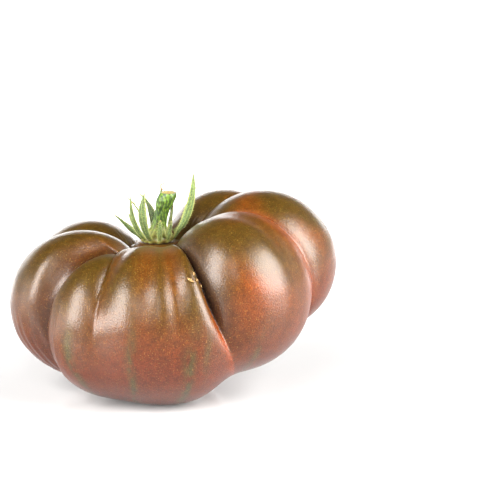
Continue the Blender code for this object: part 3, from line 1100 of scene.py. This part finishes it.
class TomatoCalyxSettings(bpy.types.PropertyGroup):
    """Down, blades and colours of the stalk and the sepals"""

    hair_length_mm: FloatProperty(
        name="Hair length", description="Length of the down on stalk and sepals, in millimetres", default=0.75
    )
    hair_radius_mm: FloatProperty(
        name="Hair radius", description="Radius of one hair at its foot, in millimetres", default=0.045
    )
    hairs_per_sepal: IntProperty(name="Hairs", description="Hairs on each sepal", default=220)
    hairs_on_stalk: IntProperty(name="Stalk hairs", description="Hairs on the stalk", default=420)
    thickness_mm: FloatProperty(
        name="Blade thickness", description="Thickness of a sepal's blade, in millimetres", default=0.4
    )
    stalk_colour: colour_property("Stalk", "fresh stalk", "#293e0c")
    fleck_colour: colour_property("Fleck", "flecks on the stalk", "#5f7b20")
    foot_colour: colour_property("Stalk foot", "the stalk's foot", "#6d5a1c")
    rib_colour: colour_property("Rib", "ribs and downy edges", "#acae5c")
    root_colour: colour_property("Root", "sepals where they leave the stalk", "#485119")
    dry_colour: colour_property("Dry", "dried tips and threads", "#a9835a")
    sepal_colour: colour_property("Sepal", "the sepal's blade", "#385220")
    sepal_dark_colour: colour_property("Sepal shade", "the darker patches of the blade", "#11210b")
    sepal_pale_colour: colour_property("Pale sepal", "the palest sepal", "#628049")


class TOMATO_OT_stalk(bpy.types.Operator):
    """Model the broken stalk with its ribbed foot and knuckle"""

    bl_idname = "tomato.stalk"
    bl_label = "Stalk"

    def execute(self, context):
        settings = context.scene.tomato_calyx
        rng = np.random.default_rng(STALK_SEED)
        bm = bmesh.new()
        rib_layer, dry_layer = (bm.verts.layers.float.new(name) for name in ("rib", "dry"))
        rings = stalk_rings()
        frames = [
            Matrix.LocRotScale(stalk_place(height), None, Vector((radius * MM, radius * MM, 1)))
            for height, radius in rings
        ]
        made = sweep(bm, frames, STALK_SIDES)
        bearings = [math.radians(sepal.bearing) for sepal in SEPALS.values()]
        for number, (ring, (height, _)) in enumerate(zip(made, rings)):
            middle = stalk_place(height)
            for vert in ring:
                away = vert.co - middle
                turn = math.atan2(away.y, away.x)
                gaps = [(turn - bearing + math.pi) % (2 * math.pi) - math.pi for bearing in bearings]
                rib = max(math.exp(-((gap / RIB_WIDTH) ** 2)) for gap in gaps)
                swell, foot = stalk_swell(turn, height, rib)
                vert.co = middle + away * (1 + swell)
                vert[rib_layer] = rib * foot * STALK_RIB_SHARE
                vert[dry_layer] = BREAK_DRY_SHARE if number > STALK_RINGS else 0.0
        bm.normal_update()
        side = [vert for ring in made[HAIRLESS_RINGS:STALK_RINGS] for vert in ring]
        spots = [(vert.co.copy(), vert.normal.copy()) for vert in side]
        for place, normal in (spots[i] for i in rng.choice(len(spots), settings.hairs_on_stalk)):
            for vert in add_hair(bm, rng, settings, place, normal, *STALK_HAIR_LEAN):
                vert[rib_layer] = 0.9
        add_piece("stalk_green", bm, stalk_material(settings), "stalk")
        return {"FINISHED"}


class TOMATO_OT_sepals(bpy.types.Operator):
    """Model the twelve sepals, folded and twisted, with their down and dried threads"""

    bl_idname = "tomato.sepals"
    bl_label = "Sepals"

    def execute(self, context):
        settings = context.scene.tomato_calyx
        finish = sepal_material(settings)
        foot = STALK_AXIS + Vector((0, 0, SEAT_HEIGHT))
        for number, (name, sepal) in enumerate(SEPALS.items()):
            rng = np.random.default_rng(SEPAL_SEED + number)
            bm = bmesh.new()
            layers = {key: bm.verts.layers.float.new(key) for key in ("rib", "pale", "root", "dry")}
            spots = add_blade(bm, sepal, layers, rng.uniform(0, 6), settings.thickness_mm * MM)
            edges = [spot for spot in spots if spot[2]]
            # Two hairs in three stand on the blade's edges.
            for index in range(settings.hairs_per_sepal):
                source = edges if index % 3 else spots
                place, outward, _ = source[rng.integers(len(source))]
                for vert in add_hair(bm, rng, settings, place, outward, *SEPAL_HAIR_LEAN):
                    vert[layers["rib"]], vert[layers["pale"]] = 1.0, sepal.pale
            for tendril in (one for one in TENDRILS if one.sepal == name):
                path = [foot + place * MM for place in curve_through(tendril.points, THREAD_STEPS)]
                for ring in sweep(bm, tube_frames(path, tendril.radius * MM), THREAD_SIDES):
                    for vert in ring:
                        vert[layers["dry"]] = 0.9
            add_piece(f"{name}_leaf", bm, finish, name)
        return {"FINISHED"}


# The stage.

CAMERA_TARGET = (0.0259, 0.0002, 0.0469)
SENSOR_WIDTH = 36  # millimetres
LIGHT_TARGET = (0, 0, 0.03)
# The middle of the painted shadow on the floor, where the sheet's glow is dimmest.
PAINTED_SHADOW_SPOT = (0.08, -0.02, 0.0)  # of the lit sheet, under the fruit's tall side

# Name, bearing, degrees up, distance, width, height and the setting that holds its power.
SOFTBOXES = (
    ("softbox_right", -20, 29, 1.0, 0.7, 0.92, "right_power"),
    ("low_panel", -172, 4, 1.2, 1.0, 0.7, "panel_power"),
    ("softbox_left", -142, 33, 1.0, 0.46, 0.86, "left_power"),
    ("strip_front", -97, 42, 1.1, 0.18, 0.5, "strip_power"),
    ("panel_behind", 90, 8, 1.5, 2.2, 0.16, "behind_power"),
)


class TomatoStageSettings(bpy.types.PropertyGroup):
    """Camera, lights, floor and walls of the studio"""

    camera_distance: FloatProperty(
        name="Camera distance", description="From the camera to the fruit", default=0.9, unit="LENGTH"
    )
    camera_elevation: FloatProperty(
        name="Camera elevation",
        description="How far the camera looks down",
        default=math.radians(13),
        subtype="ANGLE",
    )
    view_width: FloatProperty(
        name="View width", description="Width of the picture at the fruit", default=0.169, unit="LENGTH"
    )
    right_power: FloatProperty(name="Right softbox", description="Its power", default=42, unit="POWER")
    left_power: FloatProperty(name="Left softbox", description="Its power", default=28, unit="POWER")
    strip_power: FloatProperty(
        name="Front strip", description="Power of the narrow strip in front", default=3, unit="POWER"
    )
    behind_power: FloatProperty(
        name="Panel behind", description="Power of the panel behind, which rims the lobes", default=7, unit="POWER"
    )
    panel_power: FloatProperty(
        name="Low panel", description="Power of the panel low on the left", default=9, unit="POWER"
    )
    # The sheet's glow is painted light, dimmed near the fruit into a painted shadow.
    floor_glow: FloatProperty(name="Floor light", description="Light from under the white sheet", default=1.8)
    wall_light: FloatProperty(name="Wall light", description="Brightness of the white walls", default=0.85)
    wall_colour: colour_property("Walls", "the white walls", "#ffffff")
    ceiling_colour: colour_property("Ceiling", "the dim studio above", "#0d0c0b")
    floor_size: FloatProperty(name="Floor size", description="Side of the floor", default=6.0, unit="LENGTH")
    floor_colour: colour_property("Floor", "sheet the fruit stands on", "#b8b7b6")


def aim(thing, place, target):
    """Put a light or the camera at the place and turn it to the target."""
    thing.location = place
    thing.rotation_euler = (Vector(target) - Vector(place)).to_track_quat("-Z", "Y").to_euler()


def add_softbox(name, bearing, up, distance, width, tall, power):
    """A rectangular softbox that faces the fruit."""
    light = bpy.data.lights.new(name, "AREA")
    light.shape = "RECTANGLE"
    light.size, light.size_y, light.energy = width, tall, power
    made = bpy.data.objects.new(name, light)
    bpy.context.scene.collection.objects.link(made)
    level = math.cos(math.radians(up)) * distance
    place = Vector(unit(bearing)) * level + Vector((0, 0, math.sin(math.radians(up)) * distance))
    aim(made, place, LIGHT_TARGET)


class TOMATO_OT_stage(bpy.types.Operator):
    """Set up the pale floor, the soft studio light and the camera"""

    bl_idname = "tomato.stage"
    bl_label = "Stage"

    def execute(self, context):
        settings = context.scene.tomato_stage
        scene = context.scene
        bm = bmesh.new()
        bmesh.ops.create_grid(bm, x_segments=8, y_segments=8, size=settings.floor_size / 2)
        add_object("floor", bm, floor_material(settings))

        camera = bpy.data.objects.new("camera", bpy.data.cameras.new("camera"))
        scene.collection.objects.link(camera)
        lens = camera.data
        lens.sensor_width = SENSOR_WIDTH
        lens.lens = SENSOR_WIDTH * settings.camera_distance / settings.view_width
        lens.clip_start, lens.clip_end = 0.01, 50
        tilt = settings.camera_elevation
        back = Vector((0, -math.cos(tilt), math.sin(tilt)))
        aim(camera, Vector(CAMERA_TARGET) + back * settings.camera_distance, CAMERA_TARGET)
        scene.camera = camera

        for *sizes, power in SOFTBOXES:
            add_softbox(*sizes, getattr(settings, power))

        # White walls all round, and a dim ceiling above them.
        scene.world = bpy.data.worlds.new("studio")
        scene.world.use_nodes = True
        tree = scene.world.node_tree
        heading = add_node(tree, "ShaderNodeTexCoord").outputs["Generated"]
        dusk = ranged(tree, part_of(tree, heading, "Z"), 0.05, 0.6)
        walls = {
            "Color": mixed(tree, dusk, settings.wall_colour, settings.ceiling_colour),
            "Strength": settings.wall_light,
        }
        fill_inputs(tree, tree.nodes["Background"], walls)
        scene.view_settings.view_transform = "Standard"
        return {"FINISHED"}


class TOMATO_PT_panel(bpy.types.Panel):
    """Lists the tomato's pieces and their settings"""

    bl_idname = "TOMATO_PT_panel"
    bl_label = "Tomato"
    bl_space_type = "VIEW_3D"
    bl_region_type = "UI"
    bl_category = "Tomato"

    def draw(self, context):
        for operator, group in PANEL_ROWS:
            self.layout.operator(operator.bl_idname)
            if group:
                settings = getattr(context.scene, group)
                for name in settings.__annotations__:
                    self.layout.prop(settings, name)


GROUPS = {
    "tomato_fruit": TomatoFruitSettings,
    "tomato_scars": TomatoScarSettings,
    "tomato_calyx": TomatoCalyxSettings,
    "tomato_stage": TomatoStageSettings,
}

# Each button of the panel, and the settings listed under it.
PANEL_ROWS = (
    (TOMATO_OT_fruit, "tomato_fruit"),
    (TOMATO_OT_scars, "tomato_scars"),
    (TOMATO_OT_stalk, None),
    (TOMATO_OT_sepals, "tomato_calyx"),
    (TOMATO_OT_stage, "tomato_stage"),
)

CLASSES = (*GROUPS.values(), *(operator for operator, _ in PANEL_ROWS), TOMATO_PT_panel)


def register():
    """Add the settings, the operators and the panel."""
    for one in CLASSES:
        bpy.utils.register_class(one)
    for name, group in GROUPS.items():
        setattr(bpy.types.Scene, name, PointerProperty(type=group))


def unregister():
    """Take them away again."""
    for name in GROUPS:
        delattr(bpy.types.Scene, name)
    for one in reversed(CLASSES):
        bpy.utils.unregister_class(one)


def main():
    """Build every piece and the stage."""
    register()
    bpy.ops.tomato.stage()
    bpy.ops.tomato.fruit()
    bpy.ops.tomato.scars()
    bpy.ops.tomato.stalk()
    bpy.ops.tomato.sepals()
    bpy.context.view_layer.update()


if __name__ == "__main__":
    main()
